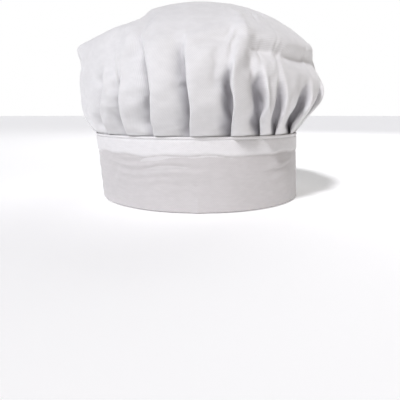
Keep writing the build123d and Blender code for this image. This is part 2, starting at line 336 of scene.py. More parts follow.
def outward(angle, way):
    """Unit normals of the envelope."""
    turn, rise = 0.5, 0.8 * MM
    around = envelope(angle + turn, way) - envelope(angle - turn, way)
    up = envelope(angle, np.minimum(way + rise, MERIDIAN)) - envelope(angle, way - rise)
    normal = np.cross(around, up)
    size = np.linalg.norm(normal, axis=-1, keepdims=True)
    return np.where(size > 1e-12, normal / np.maximum(size, 1e-12), (0, 0, 1))


# ---------------------------------------------------------------- crown: the pleats
# Each fold edge: its angle at the band, how far it has swung round by 40 and by 80 mm up, the
# height in millimetres where the pleat has opened, and how deep its cloth goes in and out.
FRONT_FOLDS = (
    (218.5, 12, 4, 54, 3.2),
    (234.5, 4, 2, 46, 3.0),
    (249.5, 1.5, -1, 110, 3.8),
    (266.5, -2, -3, 76, 3.8),
    (285.5, -6, -3, 54, 5.0),
    (301.5, -9, -5, 50, 6.4),
    (312.0, -10, -5, 46, 4.4),
    (328.5, -7, -1, 46, 4.8),
)
LAST_EDGE = (PLEAT_END, 0, 0, 40, 2.0)
SIDE_PLEATS = 7  # pleats from the back opening to the first and from the last of those
SEED = 7
dice = random.Random(SEED)


def plain_folds(start, end, count):
    """The fold edges out of sight: evenly spaced, each a little different."""
    folds = []
    for number in range(count):
        angle = start + (end - start) * number / count + (dice.uniform(-1, 1) if number else 0)
        shape = [dice.uniform(*limits) for limits in ((-3, 3), (-5, 5), (38, 70), (2, 4))]
        folds.append((angle, *shape))
    return folds


FOLDS = (
    plain_folds(PLEAT_START, FRONT_FOLDS[0][0], SIDE_PLEATS)
    + list(FRONT_FOLDS)
    + plain_folds(FRONT_FOLDS[-1][0], PLEAT_END, SIDE_PLEATS)[1:]
)
PLEATS = len(FOLDS)
folds = np.array(FOLDS + [LAST_EDGE])

# Places along one pleat's cloth, as shares of it: close together where it folds.
PLEAT_STEPS = np.array([0, 0.05, 0.13, 0.24, 0.36, 0.48, 0.59, 0.67, 0.73, 0.80, 0.88, 0.95])
EDGE_STEPS = (0, 1, len(PLEAT_STEPS) - 1)  # the places at a pleat's pressed edge
VENT_STEPS = 20  # columns of points over the back opening
PLEATED = PLEATS * len(PLEAT_STEPS)
COLUMNS = PLEATED + VENT_STEPS
ROWS = 60
CLOSEST = 1.7 * MM  # columns nearer to each other than this are thinned out

SWING_WAYS = np.array((0, 40, 80, 150)) * MM
OVERLAP_WAYS = np.array((0, 20, 45, 80, 110)) * MM
OVERLAPS = (0.56, 0.36, 0.17, 0.03, 0.0)  # of a pleat's pitch, at those heights
OPENS = (0.55, 1.15)  # a pleat opens from the first to the second share of its height
STAYS_FOLDED = 0.05  # share of the overlap that is left once it has opened
UNDER_BEFORE, UNDER_AFTER, UNDER_END = 0.13, 0.02, 0.9  # where the cloth goes in, in steps
TURN_STEPS = (-0.024, -0.012, 0, 0.012, 0.024)  # rounds the cloth's turns at the folds
LAYER = 0.5 * MM  # half the height of the pressed layers at the band
PLEATS_RISE = 30 * MM  # over this height they come up to their full depth
PUFF, PUFF_WAYS, PUFF_FADE = 2.0 * MM, (2 * MM, 30 * MM), (70 * MM, 120 * MM)
PUFF_STEPS, PUFF_MEAN = 0.75, 0.4  # the puff's share of a pleat's cloth, what is taken off it
LIFT_FADE = (0.12, 0.18)  # metres up, where the pleats' relief ends
FLAT_TOP = (75 * MM, 150 * MM)  # from here up the cloth lies as it was cut


def fold_angle(number, way):
    angle, swing_40, swing_80 = folds[number][:3]
    return angle + np.interp(way, SWING_WAYS, [0, swing_40, swing_80, swing_80 / 2])


def pleat_overlap(number, step, way):
    """How much of a pleat's cloth is folded under, as a share of its pitch."""
    opened_at = folds[number + (step > 0.5)][3] * MM
    folded = 1 - smooth(way, opened_at * OPENS[0], opened_at * OPENS[1])
    return np.interp(way, OVERLAP_WAYS, OVERLAPS) * (STAYS_FOLDED + (1 - STAYS_FOLDED) * folded)


def pleat_under(number, step, way):
    """How deep the cloth goes in under the next pleat's folded edge."""
    overlap = pleat_overlap(number, step, way)
    under_from = 1 / (1 + 2 * overlap)
    under = smooth(step, under_from - UNDER_BEFORE, under_from + UNDER_AFTER)
    under = under * (1 - smooth(step, UNDER_END, 1.0))
    return folds[number + 1][4] * MM * under * smooth(overlap, 0, 0.1)


def pleat_point(number, step, way):
    """Angle and lift of the cloth at one step of one pleat."""
    overlap = pleat_overlap(number, step, way)
    crest = (1 + overlap) / (1 + 2 * overlap)  # the step where it turns back under itself
    turns, lifts = [], []
    for shift in TURN_STEPS:
        here = step + shift
        cycle = np.floor(here)
        here = here - cycle
        out = here * (1 + 2 * overlap)
        back = (1 + overlap) - (here - crest) * (1 + 2 * overlap)
        turns.append(cycle + np.where(here < crest, out, back))
        down = 1 - 2 * here / crest
        up = -1 + 2 * (here - crest) / np.maximum(1 - crest, 1e-3)
        lifts.append(np.where(here < crest, down, up))
    start, end = fold_angle(number, way), fold_angle(number + 1, way)
    angle = start + (end - start) * np.mean(turns, axis=0)
    deep = (folds[number][4] * (1 - step) + folds[number + 1][4] * step) * MM
    layers = LAYER + (deep - LAYER) * smooth(way, 0, PLEATS_RISE)
    lift = np.mean(lifts, axis=0) * layers * np.minimum(1, overlap / 0.10)
    puff = PUFF * smooth(way, *PUFF_WAYS) * (1 - smooth(way, *PUFF_FADE))
    return angle, lift + puff * (math.sin(math.pi * min(step / PUFF_STEPS, 1)) - PUFF_MEAN)


# Places round the flat circle: of the fold edges, and of every column of points.
CUT_FOLDS = (folds[:, 0] - PLEAT_START) * (360 - VENT_CLOTH) / (folds[-1, 0] - PLEAT_START)
CUT_ANGLES = np.concatenate(
    [
        np.ravel(CUT_FOLDS[:-1, None] + np.diff(CUT_FOLDS)[:, None] * PLEAT_STEPS),
        360 - VENT_CLOTH + VENT_CLOTH * np.arange(VENT_STEPS) / VENT_STEPS,
    ]
) + BACK + VENT_CLOTH / 2


def crown_columns(way_of_row):
    """Angle, way, lift and depth under the next fold of every point, row by row."""
    columns = []
    for number in range(PLEATS):
        for step in PLEAT_STEPS:
            angle, lift = pleat_point(number, step, way_of_row)
            columns.append((angle, way_of_row, lift, pleat_under(number, step, way_of_row)))
    vent_start, vent_end = folds[-1][0], FOLDS[0][0] + 360
    for number in range(VENT_STEPS):
        angle = vent_start + (vent_end - vent_start) * number / VENT_STEPS
        off = (angle - 360 - BACK) / VENT_HALF_ANGLE
        arch = VENT_HEIGHT * math.sqrt(max(0, 1 - off * off))
        start_way = np.interp(arch, fine_profile[0], FINE)
        way = start_way + way_of_row * (1 - start_way / MERIDIAN)
        lift = 1.0 * MM * smooth(way_of_row, 0, 20 * MM) * np.cos(off * 3)  # a slight wave
        lift = lift * (way_of_row < LIFT_FADE[0])
        columns.append((angle + 0 * way_of_row, way, lift, 0 * way_of_row))
    angles, ways, lifts, unders = np.array(columns).transpose(1, 2, 0)
    # On top the cloth lies flat, as it was cut; it is the folds that shift it lower down.
    return angles + (CUT_ANGLES - angles) * smooth(ways, *FLAT_TOP), ways, lifts, unders


# How firmly the cloth keeps its place while it settles: low down, at the pleats' pressed
# edges, on top, and at the edge of the back opening. 1 is fixed.
HOLD_LOW, HOLD_EDGE, HOLD_TOP, HOLD_VENT = 0.04, 0.6, 0.75, 0.8
EDGE_LETS_GO = (0.6, 1.2)  # shares of the height where a pleat has opened
TOP_HOLDS, VENT_EDGE = (60 * MM, 105 * MM), 8 * MM


def hold(way, column):
    """How firmly one point of the cloth is held."""
    if way <= 0:
        return 1.0
    if column >= PLEATED and way < VENT_EDGE:
        return HOLD_VENT
    low = HOLD_LOW
    if column < PLEATED:
        number, step = divmod(column, len(PLEAT_STEPS))
        if step in EDGE_STEPS:
            lets_go = [folds[number][3] * MM * share for share in EDGE_LETS_GO]
            low += (HOLD_EDGE - HOLD_LOW) * (1 - smooth(way, *lets_go))
    return float(low + (HOLD_TOP - low) * smooth(way, *TOP_HOLDS))


def build_crown():
    """The cloth in its pleats, before it settles, with what is known of each of its points."""
    way_of_row = np.linspace(0, MERIDIAN, ROWS + 1)[:-1]
    angles, ways, lifts, unders = crown_columns(way_of_row)
    points = envelope(angles, ways)
    points += outward(angles, ways) * (lifts * (1 - smooth(ways, *LIFT_FADE)))[..., None]
    at_band = wall(angles[0], BAND_TOP + 0 * angles[0], SEAM_DEPTH - lifts[0])
    points[0] = np.where((ways[0] <= 0)[:, None], at_band, points[0])

    verts, flat, pins, places = [], [], [], []
    around = np.radians(CUT_ANGLES)

    def add(point, reach, column, pin, place):
        verts.append(point)
        flat.append((reach * math.cos(around[column]), reach * math.sin(around[column]), 0))
        pins.append(pin)
        places.append(place)
        return len(verts) - 1

    ids, strides = [], []  # of each row: its points, and how many columns apart they are
    # The seam allowance: the same pleats, pressed flat, straight down inside the band.
    for drop in (SEAM, SEAM * 0.6, SEAM * 0.3):
        row = wall(angles[0], BAND_TOP - drop, SEAM_DEPTH - lifts[0])
        ids.append([None] * COLUMNS)
        strides.append(1)
        for column in range(PLEATED + 1):
            place = (angles[0, column], 0, 0)
            ids[-1][column % COLUMNS] = add(row[column], CLOTH_RADIUS + drop, column, 1.0, place)
    seam_rows, stride = len(ids), 1
    for row in range(ROWS):
        spacing = CLOTH_RADIUS * (1 - row / ROWS) * 2 * math.pi * stride / COLUMNS
        if row and spacing < CLOSEST and COLUMNS % (stride * 2) == 0:
            stride *= 2
        strides.append(stride)
        ids.append([None] * COLUMNS)
        for column in range(0, COLUMNS, stride):
            place = (angles[row, column], ways[row, column], unders[row, column])
            out = CLOTH_RADIUS * (1 - ways[row, column] / MERIDIAN)
            pin = hold(way_of_row[row], column)
            ids[-1][column] = add(points[row, column], out, column, pin, place)
    faces = []
    for row in range(len(ids) - 1):
        low, high, step = ids[row], ids[row + 1], strides[row + 1]
        for column in range(0, COLUMNS, step):
            between = range(column, column + step + 1, strides[row])
            corners = [low[place % COLUMNS] for place in between]
            corners += [high[(column + step) % COLUMNS], high[column]]
            if all(corner is not None for corner in corners):
                faces.append(tuple(corners))
    apex = add((0.0, 0.0, envelope(0.0, MERIDIAN)[2]), 0, 0, 0.0, (0.0, MERIDIAN, 0))
    flat[apex] = (0, 0, 0)
    for column in range(0, COLUMNS, stride):
        faces.append((ids[-1][column], ids[-1][(column + stride) % COLUMNS], apex))
    piece = new_piece("crown_cloth", verts, faces, TWILL, flat=flat)
    arch = [column for column in range(PLEATED, COLUMNS) if ways[0, column] > 0]
    vent = [ids[seam_rows][column] for column in range(arch[0] - 1, arch[-1] + 2)]
    return piece, np.array(flat), np.array(pins), np.array(places), vent


crown, crown_flat, crown_pins, crown_places, vent_points = build_crown()
crown_under = crown_places[:, 2]
crown_places = crown_places[:, :2]


def subdivide(piece):
    modifier = piece.modifiers.new("Subdivision", "SUBSURF")
    modifier.levels = modifier.render_levels = 1
    with bpy.context.temp_override(object=piece, active_object=piece, selected_objects=[piece]):
        bpy.ops.object.modifier_apply(modifier=modifier.name)


def settle(piece, flat, pins, frames=24):
    """Lets the cloth find its own wrinkles: it was cut flat, and is held by its sewn edge."""
    piece.shape_key_add(name="worn")
    cut = piece.shape_key_add(name="cut")
    cut.data.foreach_set("co", np.asarray(flat, dtype=np.float32).ravel())
    cut.value = 0
    group = piece.vertex_groups.new(name="held")
    for index, weight in enumerate(pins):
        if weight > 0:
            group.add([index], float(weight), "REPLACE")
    modifier = piece.modifiers.new("Cloth", "CLOTH")
    settings = modifier.settings
    settings.quality = 6
    settings.mass = 0.12
    settings.air_damping = 2
    settings.tension_stiffness = settings.compression_stiffness = 12
    settings.shear_stiffness = 6
    settings.bending_stiffness = 4.0
    settings.tension_damping = settings.compression_damping = 8
    settings.use_pressure = True
    settings.uniform_pressure_force = 0.6
    settings.vertex_group_mass = "held"
    settings.pin_stiffness = 1.0
    settings.rest_shape_key = cut
    settings.effector_weights.gravity = 0.1
    collisions = modifier.collision_settings
    collisions.use_self_collision = True
    collisions.self_distance_min = 0.6 * MM
    collisions.collision_quality = 3
    scene = bpy.context.scene
    for number in range(1, frames + 1):
        scene.frame_set(number)
    evaluated = piece.evaluated_get(bpy.context.evaluated_depsgraph_get())
    places = places_of(evaluated)
    piece.modifiers.remove(modifier)
    piece.shape_key_clear()
    scene.frame_set(1)
    return places


def edges_of(piece):
    """The two points of each edge."""
    edges = np.empty(len(piece.data.edges) * 2, dtype=np.int64)
    piece.data.edges.foreach_get("vertices", edges)
    return edges.reshape(-1, 2)


def spread(piece, values, passes):
    """Averages a value at every point with its neighbours', again and again."""
    one, other = edges_of(piece).T
    count = len(values)
    degree = np.bincount(one, minlength=count) + np.bincount(other, minlength=count)
    for _ in range(passes):
        total = [np.bincount(one, v[other], count) + np.bincount(other, v[one], count) for v in values.T]
        values = 0.5 * values + 0.5 * np.stack(total, -1) / degree[:, None]
    return values


def places_of(piece):
    places = np.empty(len(piece.data.vertices) * 3)
    piece.data.vertices.foreach_get("co", places)
    return places.reshape(-1, 3)


def put_places(piece, places):
    piece.data.vertices.foreach_set("co", np.ascontiguousarray(places).ravel())
    piece.data.update()


# Creases and dents of the worn cloth: a line of places (angle, millimetres of cloth up from the
# band), how far it stands proud, and its widths before and after the line, in millimetres.
CREASES = (
    (((198, 77), (206, 75)), 3.2, 6, 5),  # the corner that the crown flops to
    (((279, 47), (284, 55), (288, 67), (289, 98)), 3.4, 13, 4),  # the ridge between two facets
    (((289, 77), (304, 74), (334, 71)), 3.0, 11, 4),  # the top hangs over the right side
    (((294, 69), (306, 66), (330, 66)), -4.4, 4, 6),  # and the hollow under it
    (((290, 58), (291, 36), (299, 12)), -4.0, 3, 5),  # the widest slit
    (((245, 102), (251, 57), (250, 24)), -1.3, 3, 5),
    (((263, 64), (264, 43), (266, 8)), -1.1, 3, 5),
    (((241, 68), (237, 51), (233, 30)), 1.6, 7, 8),
    (((212, 12), (205, 30), (204, 46)), -4.6, 15, 12),  # the hollow at the lower left
    (((297, 41), (298, 36)), -2.2, 4, 5),
    (((275, 46), (271, 34)), -1.1, 4, 5),
    (((316, 47), (327, 8)), -1.6, 3, 5),
)
CREASE_RADIUS = 105  # of the crown in millimetres, for lengths round it
CREASE_FALL = 1.6  # how roundly a crease falls off to its sides
CREASE_START = (0, 8 * MM)  # over this height above the band the creases begin
# A pleat's folded edge: how proud it stands as a share of the pleat's depth, its widths before
# and after, and how far up it goes, as a share of the height where the pleat has opened.
EDGE_RISE, EDGE_WIDTHS, EDGE_END = 0.22, (0.5, 2.8), 1.1
# How sharp that edge is, the share of that height from which this fades, and how many degrees
# off the edge a point of it may be.
EDGE_SHARPNESS, SHARP_UP_TO, EDGE_MATCH = 0.85, 0.5, 0.05


def edge_creases():
    """Each pleat's folded edge stands a little proud."""
    creases = []
    for number, (*_, opened, deep) in enumerate(FOLDS):
        end = opened * EDGE_END
        heights = [height for height in (0, 20, 40, 60, 80, 110) if height < end] + [end]
        line = [(float(fold_angle(number, height * MM)), height) for height in heights]
        creases.append((line, EDGE_RISE * deep, *EDGE_WIDTHS))
    return creases


def near_line(line, angle, way, before, after):
    """1 on a line over the cloth, falling to 0 over its widths before and after it."""
    around = np.radians(angle) * CREASE_RADIUS * MM
    nearest, side = np.full(len(way), 1e9), np.zeros(len(way))
    for (angle_a, way_a), (angle_b, way_b) in zip(line[:-1], line[1:]):
        start = np.array([math.radians(angle_a) * CREASE_RADIUS, way_a]) * MM
        along = np.array([math.radians(angle_b) * CREASE_RADIUS, way_b]) * MM - start
        off = np.stack([around, way], -1) - start
        part = np.clip(off @ along / (along @ along), 0, 1)
        distance = np.hypot(*(off - part[:, None] * along).T)
        closer = distance < nearest
        nearest = np.where(closer, distance, nearest)
        side = np.where(closer, along[0] * off[:, 1] - along[1] * off[:, 0], side)
    width = np.where(side > 0, before, after) * MM
    return np.exp(-((nearest / width) ** CREASE_FALL))


def crease_lift(angle, way):
    """How far the creases lift the cloth at each place."""
    lift = 0 * way
    for line, height, before, after in list(CREASES) + edge_creases():
        lift = lift + height * MM * near_line(line, angle, way, before, after)
    return lift * smooth(way, *CREASE_START)


def sharpen_folds(piece, places):
    """The pressed edges of the pleats stay sharp when the cloth is subdivided."""
    angle, way = places.T
    sharp = np.zeros(len(way))
    for number, fold in enumerate(FOLDS):
        on_edge = np.abs(angle - fold_angle(number, way)) < EDGE_MATCH
        folded = 1 - smooth(way, fold[3] * SHARP_UP_TO * MM, fold[3] * MM)
        sharp = np.maximum(sharp, on_edge * EDGE_SHARPNESS * folded)
    add_values(piece, "crease_edge", sharp[edges_of(piece)].min(axis=1), "EDGE")


# Smooth stretches of the worn cloth: middle (angle, millimetres up), half sizes and how smooth.
PRESSED = (
    ((310, 86), (28, 20), 0.9),
    ((222, 72), (24, 24), 0.85),
    ((262, 98), (34, 22), 0.7),
    ((313, 50), (28, 24), 0.7),
)
PRESS_PASSES = 40
PRESS_FADE = (0.5, 1.2)  # shares of the half sizes


def press(piece, places, where):
    """Takes the small wrinkles out of the smooth stretches."""
    pressed = spread(piece, places, PRESS_PASSES)
    angle, way = where.T
    share = 0 * way
    for (middle_angle, middle_way), (half_angle, half_way), strength in PRESSED:
        off = np.hypot((angle - middle_angle) / half_angle, (way / MM - middle_way) / half_way)
        share = np.maximum(share, strength * (1 - smooth(off, *PRESS_FADE)))
    return places + (pressed - places) * share[:, None]


# The left shoulder has sunk: left of a fold that runs up over the top, the cloth lies lower.
SHOULDER_HEIGHT, SHOULDER_SLOPE = BAND_TOP + 68.6 * MM, 0.22
SHOULDER_CORNER, SHOULDER_EDGE = -105 * MM, (-48 * MM, -37 * MM)
SHOULDER_FADE = (-5 * MM, 50 * MM)  # towards the back it rises to the plain form again
SHOULDER_SINK, SHOULDER_SOFT = 0.97, 2 * MM


def sink_shoulder(places):
    """Brings what is over the shoulder's sloping plane down to it."""
    x, y, z = places.T
    over = z - SHOULDER_HEIGHT - SHOULDER_SLOPE * (x - SHOULDER_CORNER)
    over = np.maximum(over, 0) ** 2 / (np.abs(over) + SHOULDER_SOFT)
    share = SHOULDER_SINK * (1 - smooth(x, *SHOULDER_EDGE)) * (1 - smooth(y, *SHOULDER_FADE))
    return np.stack([x, y, z - over * share], -1)


# The cloth that goes in under a fold: the share of its depth that it is sunk by here, and the depth
# where its painted shade is darkest.
UNDER_SINK, UNDER_DARKEST = 0.6, 4.5 * MM
OUTLINE_PASSES, OUTLINE_HOLD = 120, 0.85  # how wide the large form is taken, how far it goes back
PIN_POWER = 4  # keeps that from the points that are held firmly

drawn = places_of(crown)
settled = settle(crown, crown_flat, crown_pins)
# The wrinkles are the cloth's own; the large form goes back to the one that is worn.
drift = spread(crown, settled - drawn, OUTLINE_PASSES)
put_places(crown, settled - OUTLINE_HOLD * drift * (1 - crown_pins[:, None] ** PIN_POWER))
put_places(crown, press(crown, places_of(crown), crown_places))
sunk = UNDER_SINK * crown_under * smooth(crown_places[:, 1], *CREASE_START)
lifted = (crease_lift(*crown_places.T) - sunk)[:, None] * outward(*crown_places.T)
put_places(crown, sink_shoulder(places_of(crown) + lifted))
vent_edge = places_of(crown)[vent_points]
crown.data.vertices[-1].co.z = crown.data.vertices[-2].co.z  # the very middle of the top
# Painted shade in the slits: the cloth that goes in under a fold is darkened by how deep it goes.
add_values(crown, "painted_shade", np.minimum(1, crown_under / UNDER_DARKEST))
sharpen_folds(crown, crown_places)
subdivide(crown)
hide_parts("crown")

# ---------------------------------------------------------------- band
# Round its two plies in millimetres: depth behind the outer face, and height.
SECTION = (
    (1.45, 0.0), (0.75, 0.12), (0.25, 0.5), (0.03, 1.1),
    *[(0.0, z) for z in np.linspace(2.0, 53.5, 47)],
    (0.0, 54.2), (0.0, 54.7), (0.0, 55.1), (0.0, 55.5), (0.0, 56.0), (0.02, 56.4), (0.12, 56.8),
    (0.38, 57.0), (0.64, 56.8), (0.74, 56.3), (0.75, 50.0), (0.75, 30.0), (0.75, 1.8),
    (1.45, 1.2), (2.15, 1.8), (2.15, 30.0), (2.15, 50.0), (2.16, 56.3), (2.26, 56.8), (2.52, 57.0),
    (2.78, 56.8), (2.88, 56.3), (2.9, 55.0),
    *[(2.9, z) for z in np.linspace(52.0, 4.0, 14)],
    (2.87, 1.1), (2.65, 0.5), (2.15, 0.12),
)
BAND_COLUMNS = 560
SEAM_STEP, SEAM_GROOVE, PAINTED_SHADE_EDGE = (42.6, 43.9), 42.0, 43.2  # heights where the crown's cloth ends; the last is where the painted shade below it begins
TOP_EDGE, TOP_ROW, PUCKER_ROW = 56.1, 54.7, 53.4  # heights of the roll, the stitches, their pucker
LEFT, FRONT, RIGHT = 243, 270, 316  # angles
STORED_FOLD = 269  # angle of the crease from being stored flat
OUTER_PLY = (0.8 * MM, 2.1 * MM)  # depths over which the relief goes over to the plain inner ply


def seam_wander(turn):
    """How the edge of the crown's cloth wavers inside the band, in millimetres."""
    return 0.7 * np.sin(turn * 7) + 0.5 * np.sin(turn * 17 + 1)


def band_relief(angle, z):
    """How far the band's outer face stands proud of its plain oval, in metres."""
    z, turn = z / MM, np.radians(angle)
    wander = seam_wander(turn)
    # The crown's cloth fills the upper strip.
    lift = 0.75 * smooth(z, SEAM_STEP[0] + wander, SEAM_STEP[1] + wander)
    lift -= 0.22 * bump(z, SEAM_GROOVE + wander, 1.2)
    lift += 0.32 * bump(z, TOP_EDGE, 0.8)
    lift -= 0.55 * bump(z, TOP_ROW, 0.42)  # the row of stitches pulls in
    lift += (np.sin(turn * 190) * 0.07 + np.sin(turn * 83 + 1) * 0.07) * bump(z, PUCKER_ROW, 2.4)
    for fold in FOLDS:
        step = angle - fold[0]
        lift += 0.15 * smooth(step, -0.8, 0.8) * (1 - smooth(step, 2, 10)) * smooth(z, 41, 47)
    # Long flat wrinkles across the left of the front, shallower round the rest of the band.
    sway = np.sin(turn * 5) * 1.5 + np.sin(turn * 11) * 0.6
    lift += 0.72 * np.sin(z * 0.9 + sway) * bump(z, 33, 8) * bump(angle, LEFT, 22)
    shallow = np.sin(z * 0.55 + sway * 1.6) * bump(z, 26, 14)
    lift += 0.28 * shallow * np.sin(turn * 3 + 0.5) ** 2
    # A slanting ridge on the right and a slanting dent at the left end.
    lift += 1.1 * bump(z - 0.25 * (angle - 315), 33, 1.5) * bump(angle, RIGHT, 9)
    lift -= 1.0 * bump(z - 1.0 * (angle - 222), 27, 5) * bump(angle, 222, 5)
    lift += 1.0 * bump(angle, STORED_FOLD, 1.8) * (1 - smooth(z, 0, 24))
    lift += 0.6 * np.sin(turn * 9 + z * 0.06) * bump(angle, FRONT, 60) * bump(z, 18, 14)
    return lift * MM


def build_band():
    angles = np.linspace(BAND_START, BAND_END, BAND_COLUMNS)
    section = np.array(SECTION) * MM
    rows = []
    for depth, z in section:
        # The stored fold sags a little at the lower edge.
        drop = -0.4 * MM * bump(angles, STORED_FOLD, 4) * (1 - z / BAND_TOP) if z < 2 * MM else 0
        relief = band_relief(angles, z) * (1 - smooth(depth, *OUTER_PLY))
        rows.append(wall(angles, z + drop, depth - relief))
    count = len(SECTION)
    faces = [tuple(reversed(face)) for face in grid_faces(count, BAND_COLUMNS, wrap_rows=True)]
    for column in (0, BAND_COLUMNS - 1):
        faces.append(tuple(row * BAND_COLUMNS + column for row in range(count)))
    turns = np.radians(angles)
    flat = [(turn, way, 0) for way in travel(section) for turn in turns * (HALF_X + HALF_Y_TOP) / 2]
    piece = new_piece("band_cloth", np.concatenate(rows), faces, BAND_TWILL, flat=flat)
    # Painted shade: below the crown's seam allowance, over the stiffener, the cloth is darkened,
    # standing in for the light that the strip above, tilted up, catches.
    edge = PAINTED_SHADE_EDGE + seam_wander(turns)
    add_values(piece, "painted_shade", [1 - smooth(z / MM, edge - 0.8, edge + 0.8) for depth, z in section])
    finish_piece(piece, "twill", "band")


build_band()

# ---------------------------------------------------------------- builders for the small pieces
STITCH, PITCH = 2.3 * MM, 2.9 * MM  # a stitch's length, and from one stitch to the next
STITCH_RISE = 0.14 * MM
# Along a stitch in shares of its length, and out of the cloth in shares of its rise.
STITCH_LINE = (
    (-0.5, -1.0), (-0.44, 0.0), (-0.3, 0.75), (0.0, 1.0), (0.3, 0.75), (0.44, 0.0), (0.5, -1.0)
)


def frame_at(surface, angle, z, depth, facing):
    """A place on a surface, with the directions round, up and out of it."""
    around = unit(surface(angle + 0.2, z, depth) - surface(angle - 0.2, z, depth))
    up = unit(surface(angle, z + 0.3 * MM, depth) - surface(angle, z - 0.3 * MM, depth))
    return surface(angle, z, depth), around, up, np.cross(around, up) * facing


def add_ends(faces, first, last, count):
    """Closes a tube at its first and its last ring of count points."""
    faces.append(tuple(range(first, first + count)))
    faces.append(tuple(range(last, last + count)))


def add_tube(verts, faces, flat, line, out, radius, sides=6):
    """A closed tube along a short line of points that lies in the plane of out."""
    first = len(verts)
    line = np.array(line)
    for middle, way, done in zip(line, np.gradient(line, axis=0), travel(line)):
        way = unit(way)
        across = unit(np.cross(way, out))
        lift = np.cross(across, way)
        for side in range(sides):
            turn = 2 * math.pi * side / sides
            verts.append(middle + (across * math.cos(turn) + lift * math.sin(turn)) * radius)
            flat.append((done, radius * turn, 0))
    faces += grid_faces(len(line), sides, wrap_columns=True, first=first)
    add_ends(faces, first, len(verts) - sides, sides)


def stitches(name, spots, body, node, radius=0.16 * MM):
    """One piece of thread for every spot: (place, direction, outwards, length)."""
    verts, faces, flat = [], [], []
    for place, along, out, length in spots:
        line = [place + along * part * length + out * rise * STITCH_RISE for part, rise in STITCH_LINE]
        add_tube(verts, faces, flat, line, out, radius)
    finish_piece(new_piece(name, verts, faces, THREAD, body, flat), "thread", node)


def level_row(surface, z, depth, start, end, facing=1, length=STITCH, pitch=PITCH):
    count = int(math.radians(end - start) * MEAN_RADIUS * MM / pitch)
    spots = []
    for number in range(count):
        angle = start + (end - start) * (number + 0.5) / count
        here, around, _, out = frame_at(surface, angle, z, depth(angle, z), facing)
        spots.append((here, around, out, length))
    return spots


def upright_row(surface, angle, low, high, depth, facing=1):
    count = int((high - low) / PITCH)
    spots = []
    for number in range(count):
        z = low + (high - low) * (number + 0.5) / count
        here, _, up, out = frame_at(surface, angle, z, depth(angle, z), facing)
        spots.append((here, up, out, STITCH))
    return spots


def flat_ring(low, high, half, steps=14):
    """One closed section of a flat strip: (z, layer) up its outer face and down its inner one."""
    half = min(half, (high - low) / 2 * 0.9)
    heights = np.linspace(low + half, high - half, steps)
    turns = [math.radians(turn) for turn in (45, 90, 135)]
    ring = [(z, -half) for z in heights]
    ring += [(high - half + half * math.sin(turn), -half * math.cos(turn)) for turn in turns]
    ring += [(z, half) for z in heights[::-1]]
    ring += [(low + half - half * math.sin(turn), half * math.cos(turn)) for turn in turns]
    return ring


def add_sleeve(verts, faces, flat, surface, angles, ring_at):
    """A tube of cloth round the rings that ring_at gives along a surface."""
    first = len(verts)
    for angle in angles:
        ring = ring_at(angle)
        for (z, layer), done in zip(ring, travel(np.array(ring))):
            verts.append(surface(angle, z, layer))
            flat.append((math.radians(angle) * MEAN_RADIUS * MM, done, 0))
    faces += grid_faces(len(angles), len(ring), wrap_columns=True, first=first)
    return first, len(verts) - len(ring), len(ring)


STRIP_STEP, STRIP_TAPER = 1.4, (0.0, 0.08, 0.22, 0.5)  # degrees, along a strip and at its ends
STRIP_END = 0.9  # degrees at each end that only the taper's places divide


def strip_angles(start, end):
    """Places along a strip, closer together at both ends."""
    count = max(2, int((end - start - 2 * STRIP_END) / STRIP_STEP) + 1)
    middle = np.linspace(start + STRIP_END, end - STRIP_END, count)
    return [start + t for t in STRIP_TAPER] + list(middle) + [end - t for t in reversed(STRIP_TAPER)]


def strip(name, surface, span, heights, middle, half, material, body, node, slot, steps=14):
    """A thin flat strip of cloth or tape with rounded edges and ends, closed all round.

    It lies between two angles and two heights, and is half thick to either side of its middle.
    """
    start, end = span

    def ring_at(angle):
        inside = min(angle - start, end - angle) * PER_DEGREE * MM
        thick = half * math.sqrt(max(0.02, 1 - max(0, 1 - inside / half) ** 2))
        return [(z, layer + middle) for z, layer in flat_ring(*heights, thick, steps)]

    verts, faces, flat = [], [], []
    add_ends(faces, *add_sleeve(verts, faces, flat, surface, strip_angles(start, end), ring_at))
    piece = new_piece(name, verts, faces, material, body, flat)
    finish_piece(piece, slot, node)
    return piece


# ---------------------------------------------------------------- sewing on the band
SUNK = 0.02 * MM  # how deep a stitch's middle line lies in the cloth
FROM_END = 1.5  # degrees from the band's ends to the upright rows


def on_face(angle, z):
    return -float(band_relief(angle, z)) + SUNK


def on_lining(angle, z):
    return BAND_THICK - SUNK


def inside_ply(angle, z, layer):
    """Surface that follows the back of the band's outer ply."""
    return wall(angle, z, layer - float(band_relief(angle, z)))


def under_pleats(angle, z):
    return 0.86 * MM


top_spots, end_spots = [], []
for layer, facing in ((on_face, 1), (on_lining, -1)):
    top_spots += level_row(wall, TOP_ROW * MM, layer, BAND_START + 1, BAND_END - 1, facing)
for angle in (BAND_START + FROM_END, BAND_END - FROM_END):
    for layer, facing in ((on_face, 1), (on_lining, -1)):
        end_spots += upright_row(wall, angle, 3 * MM, 52 * MM, layer, facing)
stitches("band_top_stitches", top_spots, "hat", "band_top_stitching")
stitches("band_end_stitches", end_spots, "hat", "band_end_stitching")
basting = level_row(wall, 51 * MM, under_pleats, BACK + 22, BACK + 338, 1, 5 * MM, 8 * MM)
stitches("pleat_basting_stitches", basting, "hat", "pleat_basting", 0.11 * MM)

stiff = strip(
    "band_stiffener", inside_ply, (BAND_START + 9, BAND_END - 9), (2.4 * MM, 41.0 * MM), 0.98 * MM,
    0.17 * MM, STIFFENER, "hat", "band_interfacing", "stiffener", steps=24,
)

